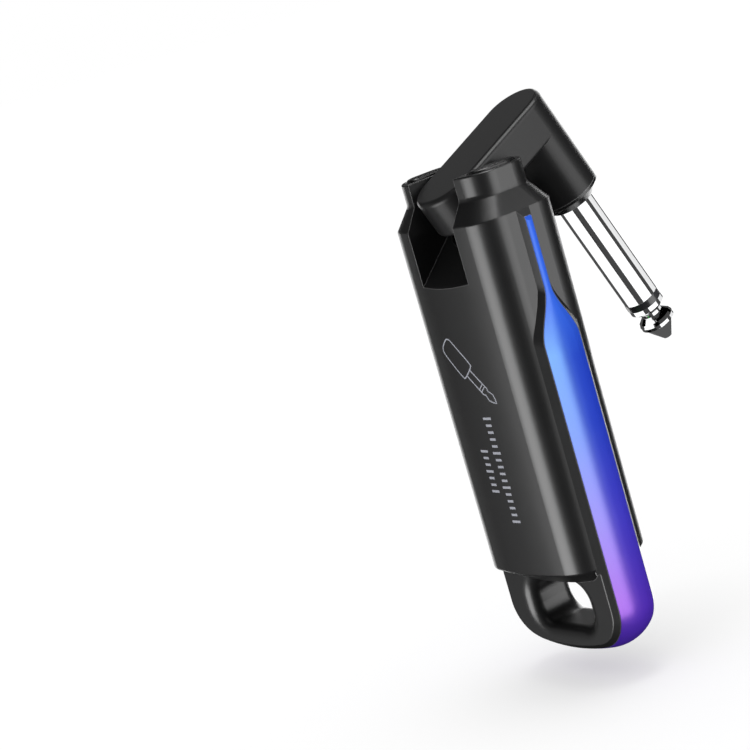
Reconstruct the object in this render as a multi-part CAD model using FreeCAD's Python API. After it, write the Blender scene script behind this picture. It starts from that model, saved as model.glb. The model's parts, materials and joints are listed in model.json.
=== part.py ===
"""Wireless guitar transmitter with a folding jack-plug arm.

Modelled upright in millimetres: +Z runs from the key loop up to the hinge, X is the width from
ear to ear, and the front face, with the round button, looks along -Y. The shapes are built about
a working datum on the housing's centre line, just below the bottom end, and are moved as they
are written, so that the origin of every file is the middle of the plug's root.
"""
import FreeCAD, Part
import math
import os

# ---- housing ----
BODY_HALF_W = 12.5          # at the flat side facets
BODY_HALF_D = 9.35          # at the middle of the crowned faces
BODY_CORNER_R = 5.2
CROWN_R = 40.0              # of the front and back faces, across the width
BODY_BOTTOM_Z = 16.7
BODY_TOP_Z = 74.8
FOOT_Z = 13.9               # where the housing's lower slope meets the key loop
FOOT_HALF_D = 5.1
NECK_HALF_W = 10.85
NECK_HALF_D = 6.7
NECK_CORNER_R = 4.5
NECK_BOTTOM_Z = 78.3
EAR_TOP_Z = 82.0
WALL = 1.6

# ---- key loop at the bottom end ----
LOOP_HALF_D = 4.65
LOOP_HALF_W = 12.5          # of the flat faces, inside the bevelled rim
LOOP_END_Z = 0.55           # lowest point of the trim
LOOP_END_R = 40.0           # gentle arc of the bottom end, at the trim's crest
LOOP_CORNER_R = 7.85        # at the trim's crest
LOOP_RIM_R = 0.3
HOLE_HALF_W = 6.8
HOLE_TOP_Z = 13.2
HOLE_BOTTOM_Z = 5.35
HOLE_CORNER_R = 3.2
HOLE_LIP_R = 2.1

# ---- side trim, a band up both sides and round the bottom, seated on a raised rib ----
TRIM_CREST = 14.3           # half-width at the crest of the wide band
TRIM_EDGE = 13.4            # half-width at the band's edges
TRIM_BACK = 12.2            # half-width of its glued back face
TRIM_HALF_WIDE = 3.7
TRIM_HALF_NARROW = 0.65
TRIM_NARROW_CREST = 13.65
TRIM_TOP_Z = 73.6
FLARE_TOP_Z = 62.2
FLARE_BOTTOM_Z = 53.2
RIB_TOP = 13.35             # half-width at the land beside the trim
RIB_LAND = 0.1              # width of that land
RIB_BASE = 12.0             # half-width at the rib's foot, inside the housing's skin
RIB_SPREAD_NARROW = 1.15    # from the trim's edge to the rib's foot, beside the narrow band
RIB_RISE = 1.2              # how much higher the rib's foot starts to narrow than the trim
RIB_END_Z = 73.4            # where the shoulder slope cuts the rib off, at its land

# ---- hinge ----
PIVOT_Y = 1.1
PIVOT_Z = 78.0
SLOT_HALF_W = 5.8
RAMP_ANGLE = 40.0           # the slot's rear floor, and how far past straight back the arm goes
RAMP_FOOT_Z = 65.4          # where the ramp meets the back face
PIN_R = 2.0
PIN_BORE_R = 1.2
PIN_INNER_X = 3.1
PIN_OUTER_X = 9.2
BUSH_R = 2.6
RUNNING_GAP = 0.04
POCKET_R = 8.0              # clears the arm's rear end under the pivot
POCKET_EDGE_R = 4.6

# ---- arm, drawn folded flat: u runs from the pivot to the plug, v runs up ----
REST_ANGLE = 24.0           # how far the arm is swung out from folded
ARM_HALF_W = 5.5
ARM_TOP_V = 4.0
ARM_BOTTOM_V = -2.8
ARM_REAR_U = -1.0
PLUG_U = 17.2
BARREL_END_V = -13.4
COLLAR_END_V = -15.3
ARM_EDGE_R = 0.9
COVER_SCREW_LENGTH = 2.0

# ---- 6.35 mm (quarter inch) two-pole plug ----
PLUG_R = 3.175
SHANK_R = 2.9               # of the sleeve inside the barrel
FLANGE_R = 4.2
FLANGE_V = (-10.9, -9.4)
SHANK_TOP_V = -6.9
TUBE_TOP_V = -5.8
ROD_END_V = -4.4
LUG_T = 0.4
PLUG_LENGTH = 31.0          # from the collar to the point of the tip
RING_CENTRE = 8.9           # insulator ring, from the point of the tip
RING_LENGTH = 1.3
NECK_R = 1.95               # groove behind the tip's ball
ROD_R = 0.9
TUBE_R = 1.9

# ---- front button, light ring, side light and charging socket ----
BUTTON_Z = 28.1
BUTTON_R = 4.3
RING_IN_R = 4.4
RING_OUT_R = 4.95
BUTTON_BACK_Y = -7.95
STEM_END_Y = -6.95          # the stem rests on the switch's plunger
PLUNGER_END_Y = -6.2
LIGHT_Z = (41.0, 57.2)
LIGHT_HALF_W = 0.5
SOCKET_Y = -2.9
SOCKET_Z = 63.9
SOCKET_W = 7.5              # outside of the metal shell, along the housing
SOCKET_H = 2.7
SOCKET_DEPTH = 5.0

# ---- electronics ----
BOARD_Y = (-5.3, -4.3)
BOARD_HALF_W = 9.2
BOARD_Z = (19.6, 62.4)
CAVITY_TOP_Z = 63.6
LEAD_R = 0.45
LEAD_DROP_X = 9.8           # where the lead turns down, beyond the pivot pin
LEAD_PAD_Z = 58.5
DUCT_R = 0.65
CELL_SIZE = (18.0, 6.2, 36.0)
CELL_LOW = (-9.0, 0.6, 21.5)

ROOT_Y = PIVOT_Y - math.cos(math.radians(REST_ANGLE)) * PLUG_U
ROOT_Y += math.sin(math.radians(REST_ANGLE)) * COLLAR_END_V
ROOT_Z = PIVOT_Z + math.sin(math.radians(REST_ANGLE)) * PLUG_U
ROOT_Z += math.cos(math.radians(REST_ANGLE)) * COLLAR_END_V
BIG = 60.0


def vec(x, y, z):
    return FreeCAD.Vector(x, y, z)


def box(low, high):
    size = [high[i] - low[i] for i in range(3)]
    return Part.makeBox(size[0], size[1], size[2], vec(*low))


def rod(start, axis, radius, length):
    return Part.makeCylinder(radius, length, vec(*start), vec(*axis))


def tube(start, axis, outer, inner, length):
    return rod(start, axis, outer, length).cut(rod(start, axis, inner, length))


def fuse(shapes):
    return shapes[0].multiFuse(shapes[1:]).removeSplitter()


def arc(a, b, c):
    return Part.Arc(a, b, c).toShape()


def line(a, b):
    return Part.makeLine(a, b)


def both_sides(shape):
    """The shape and its mirror image across the width, as one compound."""
    return Part.makeCompound([shape, shape.mirror(vec(0, 0, 0), vec(1, 0, 0))])


def rounded(shape, radius, wanted):
    """The shape with the edges that the test picks rounded."""
    edges = [edge for edge in shape.Edges if wanted(edge)]
    return shape.makeFillet(radius, edges)


def at_height(z):
    return lambda e: abs(e.BoundBox.ZMin - z) < 1e-3 and abs(e.BoundBox.ZMax - z) < 1e-3


# ---- housing envelope ----

def crowned_section(z, half_w, half_d, corner_r):
    """Closed wire: flat sides, rounded corners, and faces crowned by one tangent arc each."""
    centre_y = half_d - CROWN_R
    reach = CROWN_R - corner_r
    corner_x = half_w - corner_r
    corner_y = centre_y + math.sqrt(reach ** 2 - corner_x ** 2)
    lean = math.atan2(corner_y - centre_y, corner_x)
    touch_x = corner_x + corner_r * math.cos(lean)
    touch_y = corner_y + corner_r * math.sin(lean)
    mid_x = corner_x + corner_r * math.cos(lean / 2)
    mid_y = corner_y + corner_r * math.sin(lean / 2)
    edges = [line(vec(half_w, -corner_y, z), vec(half_w, corner_y, z))]
    edges.append(arc(vec(half_w, corner_y, z), vec(mid_x, mid_y, z), vec(touch_x, touch_y, z)))
    edges.append(arc(vec(touch_x, touch_y, z), vec(0, half_d, z), vec(-touch_x, touch_y, z)))
    edges.append(arc(vec(-touch_x, touch_y, z), vec(-mid_x, mid_y, z), vec(-half_w, corner_y, z)))
    edges.append(line(vec(-half_w, corner_y, z), vec(-half_w, -corner_y, z)))
    edges.append(arc(vec(-half_w, -corner_y, z), vec(-mid_x, -mid_y, z), vec(-touch_x, -touch_y, z)))
    edges.append(arc(vec(-touch_x, -touch_y, z), vec(0, -half_d, z), vec(touch_x, -touch_y, z)))
    edges.append(arc(vec(touch_x, -touch_y, z), vec(mid_x, -mid_y, z), vec(half_w, -corner_y, z)))
    return Part.Wire(edges)


def prism(wire, height):
    return Part.Face(wire).extrude(vec(0, 0, height))


def end_outline(inset, top_z, y):
    """U-shaped outline of the bottom end in the XZ plane, inset from the trim's crest."""
    half_w = TRIM_CREST - inset
    end_r = LOOP_END_R - inset
    corner_r = LOOP_CORNER_R - inset
    corner_x = half_w - corner_r
    end_centre_z = LOOP_END_Z + LOOP_END_R
    corner_z = end_centre_z - math.sqrt((end_r - corner_r) ** 2 - corner_x ** 2)
    lean = math.atan2(end_centre_z - corner_z, corner_x)
    touch_x = corner_x + corner_r * math.cos(lean)
    touch_z = corner_z - corner_r * math.sin(lean)
    mid_x = corner_x + corner_r * math.cos(lean / 2)
    mid_z = corner_z - corner_r * math.sin(lean / 2)
    return [
        line(vec(-half_w, y, top_z), vec(-half_w, y, corner_z)),
        arc(vec(-half_w, y, corner_z), vec(-mid_x, y, mid_z), vec(-touch_x, y, touch_z)),
        arc(vec(-touch_x, y, touch_z), vec(0, y, LOOP_END_Z + inset), vec(touch_x, y, touch_z)),
        arc(vec(touch_x, y, touch_z), vec(mid_x, y, mid_z), vec(half_w, y, corner_z)),
        line(vec(half_w, y, corner_z), vec(half_w, y, top_z)),
    ]


def key_loop():
    """The flat tongue under the housing, with a bevelled rim and a rounded-off through hole."""
    bevel = RIB_TOP - LOOP_HALF_W
    edges = end_outline(TRIM_CREST - RIB_TOP, BODY_BOTTOM_Z, -LOOP_HALF_D)
    start = edges[0].Vertexes[0].Point
    end = edges[-1].Vertexes[-1].Point
    edges.append(line(end, start))
    tongue = Part.Face(Part.Wire(edges)).extrude(vec(0, 2 * LOOP_HALF_D, 0))

    def on_face(edge):
        b = edge.BoundBox
        return abs(abs(b.YMin) - LOOP_HALF_D) < 1e-3 and b.YLength < 1e-3

    def is_rim(edge):
        return on_face(edge) and edge.BoundBox.ZMin < BODY_BOTTOM_Z - 1

    def is_lip(edge):
        b = edge.BoundBox
        reach = max(abs(b.XMin), abs(b.XMax))
        return on_face(edge) and reach < HOLE_HALF_W + 0.01 and b.ZMin > HOLE_BOTTOM_Z - 0.01

    tongue = tongue.makeChamfer(bevel, [edge for edge in tongue.Edges if is_rim(edge)])
    tongue = rounded(tongue, LOOP_RIM_R, is_rim)
    hole = box((-HOLE_HALF_W, -BIG, HOLE_BOTTOM_Z), (HOLE_HALF_W, BIG, HOLE_TOP_Z))
    hole = rounded(hole, HOLE_CORNER_R, lambda e: abs(e.tangentAt(e.FirstParameter).y) > 0.99)
    return rounded(tongue.cut(hole), HOLE_LIP_R, is_lip)


def envelope():
    body_wire = crowned_section(BODY_BOTTOM_Z, BODY_HALF_W, BODY_HALF_D, BODY_CORNER_R)
    body = prism(body_wire, BODY_TOP_Z - BODY_BOTTOM_Z)
    shoulder_wire = crowned_section(BODY_TOP_Z, BODY_HALF_W, BODY_HALF_D, BODY_CORNER_R)
    neck_wire = crowned_section(NECK_BOTTOM_Z, NECK_HALF_W, NECK_HALF_D, NECK_CORNER_R)
    slant = Part.makeLoft([shoulder_wire, neck_wire], True, True)
    neck = prism(neck_wire, EAR_TOP_Z - NECK_BOTTOM_Z)
    foot_wire = crowned_section(FOOT_Z, LOOP_HALF_W, FOOT_HALF_D, 3.2)
    foot = Part.makeLoft([foot_wire, body_wire], True, True)
    upper = fuse([body, slant, neck, foot])
    upper = rounded(upper, 1.1, at_height(NECK_BOTTOM_Z))
    upper = rounded(upper, 0.35, at_height(BODY_TOP_Z))
    upper = rounded(upper, 0.3, at_height(EAR_TOP_Z))
    upper = rounded(upper, 0.5, at_height(BODY_BOTTOM_Z))
    return fuse([upper, key_loop(), trim_ribs()])


# ---- side trim ----

def flare(z):
    """Half-width of the trim at height z."""
    if z >= FLARE_TOP_Z:
        return TRIM_HALF_NARROW
    if z <= FLARE_BOTTOM_Z:
        return TRIM_HALF_WIDE
    t = (FLARE_TOP_Z - z) / (FLARE_TOP_Z - FLARE_BOTTOM_Z)
    ease = t * t * (3 - 2 * t)
    return TRIM_HALF_NARROW + (TRIM_HALF_WIDE - TRIM_HALF_NARROW) * ease


def crest(half_width):
    """Half-width of the housing at the trim's crest, for a given trim width."""
    share = (half_width - TRIM_HALF_NARROW) / (TRIM_HALF_WIDE - TRIM_HALF_NARROW)
    return TRIM_NARROW_CREST + (TRIM_CREST - TRIM_NARROW_CREST) * share


def trim_section(z, proud=0.0):
    """D-shaped section of the trim on the +X side: flat back, crowned face."""
    w = flare(z)
    back_low = vec(TRIM_BACK, -w, z)
    back_high = vec(TRIM_BACK, w, z)
    edge_low = vec(TRIM_EDGE + proud, -w, z)
    edge_high = vec(TRIM_EDGE + proud, w, z)
    top = vec(crest(w) + proud, 0, z)
    return Part.Wire([
        line(back_high, back_low),
        line(back_low, edge_low),
        arc(edge_low, top, edge_high),
        line(edge_high, back_high),
    ])


def trim_upper(proud=0.0):
    """The trim above the flare's lower end, on the +X side."""
    steps = 8
    drop = (FLARE_TOP_Z - FLARE_BOTTOM_Z) / steps
    sections = [trim_section(FLARE_BOTTOM_Z + drop * i, proud) for i in range(steps + 1)]
    flared = Part.makeLoft(sections, True, False)
    narrow = prism(trim_section(FLARE_TOP_Z, proud), TRIM_TOP_Z - FLARE_TOP_Z)
    return [flared, narrow]


def trim_lower():
    """The wide band, swept down one side, round the bottom end and up the other side."""
    path = Part.Wire(end_outline(TRIM_CREST - TRIM_BACK, FLARE_BOTTOM_Z, 0))
    profile = trim_section(FLARE_BOTTOM_Z).mirror(vec(0, 0, 0), vec(1, 0, 0))
    return path.makePipeShell([Part.Wire(profile.Edges)], True, False)


def shoulder_wedge():
    """What lies above the shoulder slope, carried on past the housing's sides."""
    fall = (BODY_TOP_Z - RIB_END_Z) / (RIB_TOP - BODY_HALF_W)
    outer_x = TRIM_CREST + 1.0
    corners = [
        (RIB_BASE, BODY_TOP_Z + (BODY_HALF_W - RIB_BASE) * fall),
        (outer_x, BODY_TOP_Z - (outer_x - BODY_HALF_W) * fall),
        (outer_x, EAR_TOP_Z),
        (RIB_BASE, EAR_TOP_Z),
    ]
    points = [vec(x, -BODY_HALF_D, z) for x, z in corners]
    return Part.Face(Part.makePolygon(points + points[:1])).extrude(vec(0, 2 * BODY_HALF_D, 0))


def side_trim():
    upper = [piece.cut(shoulder_wedge()) for piece in trim_upper()]
    mirrored = [piece.mirror(vec(0, 0, 0), vec(1, 0, 0)) for piece in upper]
    return fuse([trim_lower()] + upper + mirrored)


def rib_wire(x, spread_narrow, spread_wide, rise):
    """Outline of the rib under the trim, in the plane at x, spread beyond and above the trim's."""
    steps = 6
    low_z = BODY_BOTTOM_Z - 1.0
    top_z = BODY_TOP_Z + 1.0
    heights = [FLARE_BOTTOM_Z + (FLARE_TOP_Z - FLARE_BOTTOM_Z) * i / steps for i in range(steps + 1)]
    right = []
    for z in heights:
        share = (flare(z) - TRIM_HALF_NARROW) / (TRIM_HALF_WIDE - TRIM_HALF_NARROW)
        spread = spread_narrow + (spread_wide - spread_narrow) * share
        right.append(vec(x, flare(z) + spread, z + rise))
    left = [vec(x, -p.y, p.z) for p in reversed(right)]
    up = vec(0, 0, 1)
    right_curve = Part.BSplineCurve()
    right_curve.interpolate(right, InitialTangent=up, FinalTangent=up)
    left_curve = Part.BSplineCurve()
    left_curve.interpolate(left, InitialTangent=-up, FinalTangent=-up)
    wide = right[0].y
    narrow = right[-1].y
    return Part.Wire([
        line(vec(x, wide, low_z), right[0]),
        right_curve.toShape(),
        line(right[-1], vec(x, narrow, top_z)),
        line(vec(x, narrow, top_z), vec(x, -narrow, top_z)),
        line(vec(x, -narrow, top_z), left[0]),
        left_curve.toShape(),
        line(left[-1], vec(x, -wide, low_z)),
        line(vec(x, -wide, low_z), vec(x, wide, low_z)),
    ])


def trim_ribs():
    """The raised ribs that carry the trim; beside the wide band they follow the loop's bevel."""
    spread_wide = RIB_LAND + RIB_TOP - RIB_BASE
    base = rib_wire(RIB_BASE, RIB_SPREAD_NARROW, spread_wide, RIB_RISE)
    land = rib_wire(RIB_TOP, RIB_LAND, RIB_LAND, 0)
    return both_sides(Part.makeLoft([base, land], True, True).cut(shoulder_wedge()))


# ---- hinge slot ----

def slot():
    """Gap between the ears: level sill in front, ramp behind, round pocket under the pivot."""
    gap = box((-SLOT_HALF_W, -BIG, BODY_TOP_Z), (SLOT_HALF_W, BIG, BIG * 2))
    run = 1 / math.tan(math.radians(RAMP_ANGLE))
    ramp_top_y = BODY_HALF_D - (BODY_TOP_Z - RAMP_FOOT_Z) * run
    low_y = BODY_HALF_D + 3.0
    corners = [
        (ramp_top_y, BODY_TOP_Z),
        (low_y, RAMP_FOOT_Z - 3.0 / run),
        (low_y, EAR_TOP_Z),
        (ramp_top_y, EAR_TOP_Z),
    ]
    points = [vec(-SLOT_HALF_W, y, z) for y, z in corners]
    ramp = Part.Face(Part.makePolygon(points + points[:1])).extrude(vec(2 * SLOT_HALF_W, 0, 0))
    start = vec(-SLOT_HALF_W, PIVOT_Y, PIVOT_Z - POCKET_EDGE_R)
    end = vec(SLOT_HALF_W, PIVOT_Y, PIVOT_Z - POCKET_EDGE_R)
    on_axis_start = vec(-SLOT_HALF_W, PIVOT_Y, PIVOT_Z)
    on_axis_end = vec(SLOT_HALF_W, PIVOT_Y, PIVOT_Z)
    profile = Part.Face(Part.Wire([
        line(on_axis_start, start),
        arc(start, vec(0, PIVOT_Y, PIVOT_Z - POCKET_R), end),
        line(end, on_axis_end),
        line(on_axis_end, on_axis_start),
    ]))
    pocket = profile.revolve(on_axis_start, vec(1, 0, 0), 360)
    return fuse([gap, ramp, pocket])


def ear_cap_blank(height, low_z, inset):
    """D-shaped plate inside the outline of the +X ear's top."""
    wire = crowned_section(low_z, NECK_HALF_W - inset, NECK_HALF_D - inset, NECK_CORNER_R - inset)
    plate = prism(wire, height)
    keep = box((SLOT_HALF_W + inset, -BIG, low_z - 1), (BIG, BIG, low_z + height + 1))
    plate = plate.common(keep)
    near_slot = [e for e in plate.Edges if e.BoundBox.ZLength > height * 0.9
                 and abs(e.BoundBox.XMin - SLOT_HALF_W - inset) < 0.01]
    return plate.makeFillet(1.2, near_slot)


def ear_cap():
    cap = ear_cap_blank(1.1, EAR_TOP_Z - 0.7, 1.0)
    return rounded(cap, 0.35, at_height(EAR_TOP_Z + 0.4))


def pin_hole():
    return rod((PIN_INNER_X, PIVOT_Y, PIVOT_Z), (1, 0, 0), PIN_R, PIN_OUTER_X - PIN_INNER_X)


def pivot_pin():
    """Hollow trunnion fixed in an ear; the plug's leads pass through its bore."""
    length = PIN_OUTER_X - PIN_INNER_X
    return tube((PIN_INNER_X, PIVOT_Y, PIVOT_Z), (1, 0, 0), PIN_R, PIN_BORE_R, length)


def lock_screw():
    """Pan-head screw under an ear cap; its foot bears on the pivot pin."""
    x = 0.5 * (SLOT_HALF_W + PIN_OUTER_X) + 0.3
    head_z = EAR_TOP_Z - 1.6
    head = rod((x, PIVOT_Y, head_z), (0, 0, 1), 1.35, 0.8)
    shank = rod((x, PIVOT_Y, PIVOT_Z + PIN_R), (0, 0, 1), 0.8, head_z - PIVOT_Z - PIN_R)
    recess = box((x - 0.15, PIVOT_Y - 1.0, head_z + 0.4), (x + 0.15, PIVOT_Y + 1.0, EAR_TOP_Z))
    across = box((x - 1.0, PIVOT_Y - 0.15, head_z + 0.4), (x + 1.0, PIVOT_Y + 0.15, EAR_TOP_Z))
    return fuse([head, shank]).cut(recess).cut(across)


def lock_screw_hole():
    x = 0.5 * (SLOT_HALF_W + PIN_OUTER_X) + 0.3
    head_z = EAR_TOP_Z - 1.6
    head = rod((x, PIVOT_Y, head_z), (0, 0, 1), 1.4, 1.6)
    return head.fuse(rod((x, PIVOT_Y, PIVOT_Z), (0, 0, 1), 0.8, head_z - PIVOT_Z))


def lead_duct():
    """Way for the plug's lead from the pin's bore down the ear into the housing."""
    across = rod((PIN_OUTER_X, PIVOT_Y, PIVOT_Z), (1, 0, 0), DUCT_R, LEAD_DROP_X - PIN_OUTER_X)
    down = rod((LEAD_DROP_X, PIVOT_Y, PIVOT_Z + DUCT_R), (0, 0, -1), DUCT_R, PIVOT_Z - CAVITY_TOP_Z + 2)
    return fuse([across, down])


# ---- front button and lights ----

def button_blank(radius, back_y, outside):
    disc = rod((0, back_y, BUTTON_Z), (0, -1, 0), radius, BIG)
    return disc.common(outside)


def power_button(outside):
    cap = button_blank(BUTTON_R, BUTTON_BACK_Y, outside)
    stem = rod((0, STEM_END_Y, BUTTON_Z), (0, -1, 0), 1.3, STEM_END_Y - BUTTON_BACK_Y + 0.3)
    return fuse([cap, stem])


def light_ring(outside):
    ring = button_blank(RING_OUT_R, -6.1, outside)
    ring = ring.cut(rod((0, 0, BUTTON_Z), (0, -1, 0), RING_IN_R, BIG))
    flange = tube((0, -6.5, BUTTON_Z), (0, -1, 0), 5.7, RING_IN_R, 0.7)
    return fuse([ring, flange])


def light_window(reach_x):
    """Stadium-shaped bar through the crest of the +X trim, reaching in to reach_x."""
    low, high = LIGHT_Z
    w = LIGHT_HALF_W
    middle = box((reach_x, -w, low + w), (BIG, w, high - w))
    ends = [rod((reach_x, 0, z), (1, 0, 0), w, BIG) for z in (low + w, high - w)]
    return fuse([middle] + ends)


def light_bar():
    """Light pipe: the lit bar and a tab reaching back to the lamps on the board."""
    profile = Part.Wire(trim_section(FLARE_BOTTOM_Z, 0.06).Edges)
    lower = prism(profile, LIGHT_Z[0] - FLARE_BOTTOM_Z - 1.0)
    skin = fuse([lower] + trim_upper(0.06)[:1])
    outer = light_window(TRIM_BACK).common(skin)
    inner = light_window(9.5).common(box((9.5, -BIG, 0), (TRIM_BACK, BIG, BIG * 2)))
    tab = box((8.0, -3.4, 45.0), (9.5, LIGHT_HALF_W, 53.0))
    return fuse([outer, inner, tab])


# ---- charging socket ----

def socket_outline(x, grow):
    """Micro-B mouth in the plane at x: two corners are cut off on the face towards the front."""
    w = SOCKET_W / 2 + grow
    h = SOCKET_H / 2 + grow
    cut = 0.95
    corners = [
        (h, -w), (h, w), (-h + cut, w), (-h, w - cut), (-h, -w + cut), (-h + cut, -w),
    ]
    points = [vec(x, SOCKET_Y + y, SOCKET_Z + z) for y, z in corners]
    return Part.Face(Part.makePolygon(points + points[:1]))


def socket_block(x0, x1, grow):
    return socket_outline(x0, grow).extrude(vec(x1 - x0, 0, 0))


def socket_shell():
    outer_x = BODY_HALF_W + 0.05
    inner_x = outer_x - SOCKET_DEPTH
    return socket_block(inner_x, outer_x, 0).cut(socket_block(inner_x + 0.3, outer_x, -0.28))


def socket_tongue():
    """Plastic tongue with its five contacts, inside the metal shell."""
    outer_x = BODY_HALF_W + 0.05
    inner_x = outer_x - SOCKET_DEPTH + 0.3
    base = socket_block(inner_x, inner_x + 1.2, -0.3)
    tongue = box((inner_x, SOCKET_Y - 0.2, SOCKET_Z - 1.75), (outer_x - 0.8, SOCKET_Y + 0.4, SOCKET_Z + 1.75))
    return fuse([base, tongue])


def socket_contacts():
    outer_x = BODY_HALF_W + 0.05
    strips = []
    for i in range(5):
        z = SOCKET_Z + (i - 2) * 0.65
        strips.append(box((9.2, SOCKET_Y - 0.32, z - 0.18), (outer_x - 1.0, SOCKET_Y - 0.2, z + 0.18)))
    return Part.makeCompound(strips)


# ---- electronics ----

def main_board():
    board = box((-BOARD_HALF_W, BOARD_Y[0], BOARD_Z[0]), (BOARD_HALF_W, BOARD_Y[1], BOARD_Z[1]))
    ear = box((6.5, BOARD_Y[0], BOARD_Z[1] - 3), (10.4, BOARD_Y[1], SOCKET_Z + 3.9))
    return fuse([board, ear])


def tact_switch():
    y = BOARD_Y[0]
    case = box((-2.1, y - 1.2, BUTTON_Z - 2.1), (2.1, y, BUTTON_Z + 2.1))
    return case.cut(rod((0, y - 0.3, BUTTON_Z), (0, -1, 0), 0.95, 1.0))


def switch_plunger():
    return rod((0, PLUNGER_END_Y, BUTTON_Z), (0, -1, 0), 0.9, PLUNGER_END_Y - STEM_END_Y)


def ring_lamps():
    """Four lamps on the board's front, under the light ring."""
    lamps = []
    r = 0.5 * (RING_IN_R + RING_OUT_R)
    for i in range(4):
        turn = math.radians(45 + 90 * i)
        x = r * math.cos(turn)
        z = BUTTON_Z + r * math.sin(turn)
        lamps.append(box((x - 0.5, BOARD_Y[0] - 0.6, z - 0.5), (x + 0.5, BOARD_Y[0], z + 0.5)))
    return Part.makeCompound(lamps)


def bar_lamps():
    """Three lamps on the board's rear, in front of the light bar's tab."""
    lamps = []
    for i in range(3):
        z = 46.5 + 2.5 * i
        lamps.append(box((8.2, BOARD_Y[1], z - 0.4), (9.0, BOARD_Y[1] + 0.7, z + 0.4)))
    return Part.makeCompound(lamps)


def shield_can():
    low = (-7.0, BOARD_Y[1], 44.0)
    high = (3.5, BOARD_Y[1] + 1.7, 57.0)
    can = box(low, high)
    can = rounded(can, 0.5, lambda e: abs(e.tangentAt(e.FirstParameter).y) > 0.99)
    return can.cut(box((low[0] + 0.25, low[1], low[2] + 0.25), (high[0] - 0.25, high[1] - 0.25, high[2] - 0.25)))


def chips():
    """Radio chip under the can, converter and charger chips on the open board."""
    y = BOARD_Y[1]
    spots = [(-4.5, 50.5, 4.0, 4.0), (0.8, 50.5, 3.0, 3.0), (-4.0, 38.0, 5.0, 4.0), (4.5, 37.0, 3.0, 3.0),
             (-4.5, 27.0, 3.0, 5.0)]
    bodies = []
    for x, z, w, h in spots:
        bodies.append(box((x - w / 2, y, z - h / 2), (x + w / 2, y + 0.9, z + h / 2)))
    return Part.makeCompound(bodies)


def antenna():
    """Ceramic chip antenna at the board's upper edge, clear of the can."""
    return box((-8.6, BOARD_Y[1], 59.4), (-3.6, BOARD_Y[1] + 1.0, 61.4))


def battery_cell():
    high = [CELL_LOW[i] + CELL_SIZE[i] for i in range(3)]
    cell = box(CELL_LOW, high)
    return rounded(cell, 1.4, lambda e: abs(e.tangentAt(e.FirstParameter).z) > 0.99)


def battery_pad():
    """Foam pad that holds the cell off the rear shell."""
    y = CELL_LOW[1] + CELL_SIZE[1]
    return box((-5.0, y, CELL_LOW[2] + 4), (5.0, y + 0.6, CELL_LOW[2] + CELL_SIZE[2] - 4))


# ---- arm, drawn folded and then swung out to its rest angle ----

def uv(u, v, x=0.0):
    return vec(x, PIVOT_Y - u, PIVOT_Z + v)


def swing(shape):
    turned = shape.copy()
    turned.rotate(vec(0, PIVOT_Y, PIVOT_Z), vec(-1, 0, 0), REST_ANGLE)
    return turned


def plug_rod(radius, v_from, v_to):
    """Round bar on the plug's axis, between two heights."""
    low = min(v_from, v_to)
    base = uv(PLUG_U, low)
    return Part.makeCylinder(radius, abs(v_to - v_from), base, vec(0, 0, 1))


def stadium(half_w, rear_u, front_u, low_v, high_v):
    rear = uv(rear_u, low_v)
    front = uv(front_u, low_v)
    height = high_v - low_v
    bar = box((-half_w, front.y, rear.z), (half_w, rear.y, rear.z + height))
    ends = [Part.makeCylinder(half_w, height, point, vec(0, 0, 1)) for point in (rear, front)]
    return fuse([bar] + ends)


def cover_plate(grow=0.0):
    """Plate let into the arm's underside, over the lead channel."""
    return stadium(3.6 + grow, 4.6, 9.2, ARM_BOTTOM_V, ARM_BOTTOM_V + 0.9)


def cover_screw_spots():
    return [uv(4.6 - 2.2, ARM_BOTTOM_V), uv(9.2 + 2.2, ARM_BOTTOM_V)]


def arm_shell():
    slab = stadium(ARM_HALF_W, ARM_REAR_U, PLUG_U, ARM_BOTTOM_V, ARM_TOP_V)
    slab = rounded(slab, 0.5, at_height(PIVOT_Z + ARM_BOTTOM_V))
    barrel = plug_rod(ARM_HALF_W, BARREL_END_V, ARM_TOP_V)
    arm = fuse([slab, barrel])
    arm = rounded(arm, ARM_EDGE_R, at_height(PIVOT_Z + ARM_TOP_V))
    hollow = plug_rod(FLANGE_R, BARREL_END_V, 2.4)
    duct = box((-2.4, PIVOT_Y - PLUG_U, PIVOT_Z - 1.9), (2.4, PIVOT_Y, PIVOT_Z + 1.7))
    cross = Part.makeCylinder(BUSH_R, 2 * ARM_HALF_W, uv(0, 0, -ARM_HALF_W), vec(1, 0, 0))
    arm = arm.cut(hollow).cut(duct).cut(cross).cut(cover_plate())
    for spot in cover_screw_spots():
        arm = arm.cut(Part.makeCylinder(0.6, COVER_SCREW_LENGTH, spot, vec(0, 0, 1)))
    return arm


def arm_cover():
    plate = cover_plate()
    for spot in cover_screw_spots():
        plate = plate.cut(Part.makeCone(1.15, 0.6, 0.6, spot, vec(0, 0, 1)))
        plate = plate.cut(Part.makeCylinder(0.6, 1.0, spot, vec(0, 0, 1)))
    return plate


def cover_screws():
    screws = []
    for spot in cover_screw_spots():
        head = Part.makeCone(1.15, 0.6, 0.6, spot, vec(0, 0, 1))
        shank = Part.makeCylinder(0.6, COVER_SCREW_LENGTH, spot, vec(0, 0, 1))
        slit = Part.makeBox(1.7, 0.3, 0.3, spot + vec(-0.85, -0.15, 0))
        slit_across = Part.makeBox(0.3, 1.7, 0.3, spot + vec(-0.15, -0.85, 0))
        screws.append(swing(fuse([head, shank]).cut(slit).cut(slit_across)))
    return Part.makeCompound(screws)


def bushes():
    """Bronze bush in each cheek of the arm, running on the pivot pins."""
    length = ARM_HALF_W - PIN_INNER_X
    bush = tube((PIN_INNER_X, PIVOT_Y, PIVOT_Z), (1, 0, 0), BUSH_R, PIN_R + RUNNING_GAP, length)
    return both_sides(bush)


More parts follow.
